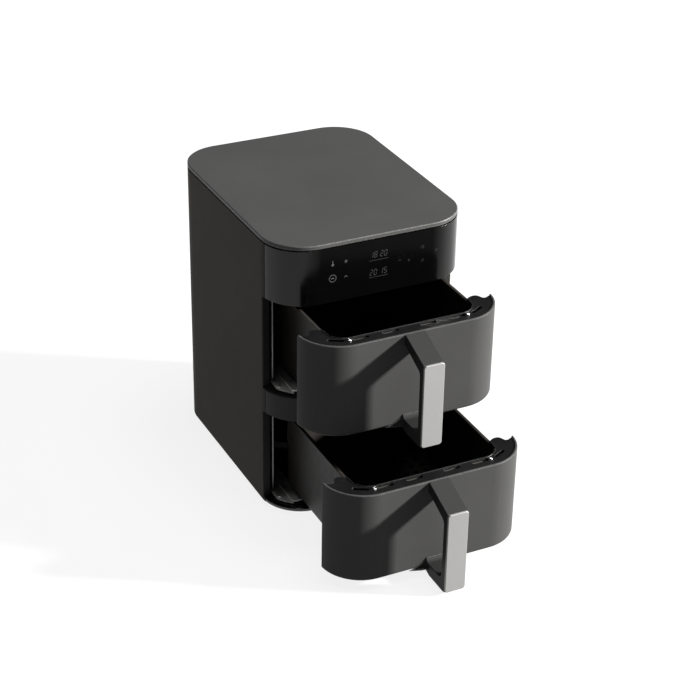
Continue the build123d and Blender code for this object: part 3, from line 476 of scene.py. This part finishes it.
def hem(mesh, x, y, low, high):
    """An upright rod with tapered ends, added to mesh."""
    levels = [(low, HEM_TIP), (low + HEM_R, 1.0), (high - HEM_R, 1.0), (high, HEM_TIP)]
    rows = []
    for z, share in levels:
        circle = ring((x, y), HEM_R * share, steps=HEM_STEPS)
        rows.append([mesh.verts.new((across, along, z)) for across, along in circle])
    for a, b in zip(rows, rows[1:]):
        for k in range(HEM_STEPS):
            mesh.faces.new((a[k], a[(k + 1) % HEM_STEPS], b[(k + 1) % HEM_STEPS], b[k]))
    mesh.faces.new(tuple(reversed(rows[0])))
    mesh.faces.new(rows[-1])


def draw_hems(mesh):
    """One rolled edge up each side of both cavities' mouths."""
    for tier in ("lower", "upper"):
        low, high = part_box(f"{tier}_liner")
        for x in (low.x + HEM_INSET, high.x - HEM_INSET):
            hem(mesh, x, low.y, low.z + HEM_SHORT, high.z - HEM_SHORT)


hem_steel = metal("hem_steel", (0.17, 0.17, 0.168), (0.28, 0.36), grain=(900.0, 900.0, 60.0))
add_piece("mouth_hems", hem_steel, draw_hems)


# ---- floor ----
FLOOR_HALF_W = 9.0
FLOOR_GLOW = 0.85           # the floor gives off light of its own, so that it comes out nearly white


def floor():
    """A pale table that runs past the camera's view."""
    mesh = bpy.data.meshes.new("floor")
    corners = [(x * FLOOR_HALF_W, y * FLOOR_HALF_W, 0) for x, y in ((-1, -1), (1, -1), (1, 1), (-1, 1))]
    mesh.from_pydata(corners, [], [(0, 1, 2, 3)])
    piece = bpy.data.objects.new("floor", mesh)
    bpy.context.scene.collection.objects.link(piece)
    g = Graph("floor_paint")
    g.put(g.shader.inputs["Base Color"], g.blend(g.noise(3.0), grey(0.076), grey(0.084)))
    g.put(g.shader.inputs["Roughness"], g.spread(g.noise(30.0), 0.3, 0.7, 0.75, 0.85))
    g.shader.inputs["Specular IOR Level"].default_value = 0.0
    g.shader.inputs["Emission Color"].default_value = (*WHITE, 1.0)
    g.shader.inputs["Emission Strength"].default_value = FLOOR_GLOW
    mesh.materials.append(g.material)


# ---- light ----
LIT_POINT = Vector((0, -0.05, 0.2))
KEY_DIRECTION = (1.75, -1.0, 0.71)
KEY_DISTANCE = 8.0
KEY_SIZE = (0.55, 0.55)
KEY_POWER = 4960
KEY_COLOUR = (1.0, 0.985, 0.965)
TOP_PLACE = (0.6, -0.3, 4.0)
TOP_SIZE = (2.0, 2.0)
TOP_POWER = 195
ROOM_LIGHT = 0.06


def lamp(name, place, size, power, colour=WHITE):
    """A rectangular light at place, aimed at the lit point, with its power in watts."""
    data = bpy.data.lights.new(name, "AREA")
    data.shape = "RECTANGLE"
    data.size, data.size_y = size
    data.energy = power
    data.color = colour
    made = bpy.data.objects.new(name, data)
    made.location = place
    made.rotation_euler = (LIT_POINT - Vector(place)).to_track_quat("-Z", "Y").to_euler()
    bpy.context.scene.collection.objects.link(made)


def studio():
    """A crisp key from the right, a broad soft light overhead, and a dim room."""
    world = bpy.data.worlds.new("studio")
    world.use_nodes = True
    background = world.node_tree.nodes["Background"]
    background.inputs["Color"].default_value = (*WHITE, 1.0)
    background.inputs["Strength"].default_value = ROOM_LIGHT
    bpy.context.scene.world = world
    bpy.context.scene.view_settings.view_transform = "Standard"
    key_place = LIT_POINT + Vector(KEY_DIRECTION).normalized() * KEY_DISTANCE
    lamp("key_light", key_place, KEY_SIZE, KEY_POWER, KEY_COLOUR)
    lamp("top_light", TOP_PLACE, TOP_SIZE, TOP_POWER)


# ---- camera ----
CAMERA_PLACE = (-1.0584, -2.0957, 1.5260)
CAMERA_AZIMUTH = -26.64     # degrees round from the front; under 0 is to the left
CAMERA_ELEVATION = 29.038   # degrees above the horizon
CAMERA_ROLL = 1.103         # degrees
LENS_MM = 94.82
SENSOR_MM = 36.0


def camera():
    """The camera. back points from what it looks at to the camera itself."""
    data = bpy.data.cameras.new("camera")
    data.sensor_width = SENSOR_MM
    data.lens = LENS_MM
    made = bpy.data.objects.new("camera", data)
    azimuth, elevation, roll = radians(CAMERA_AZIMUTH), radians(CAMERA_ELEVATION), radians(CAMERA_ROLL)
    back = Vector((sin(azimuth) * cos(elevation), -cos(azimuth) * cos(elevation), sin(elevation)))
    right = (-back).cross(Vector((0, 0, 1))).normalized()
    upward = right.cross(-back)
    across = right * cos(roll) + upward * sin(roll)
    lifted = upward * cos(roll) - right * sin(roll)
    turn = Matrix((across, lifted, back)).transposed().to_4x4()
    made.matrix_world = Matrix.Translation(CAMERA_PLACE) @ turn
    bpy.context.scene.collection.objects.link(made)
    bpy.context.scene.camera = made


floor()
studio()
camera()
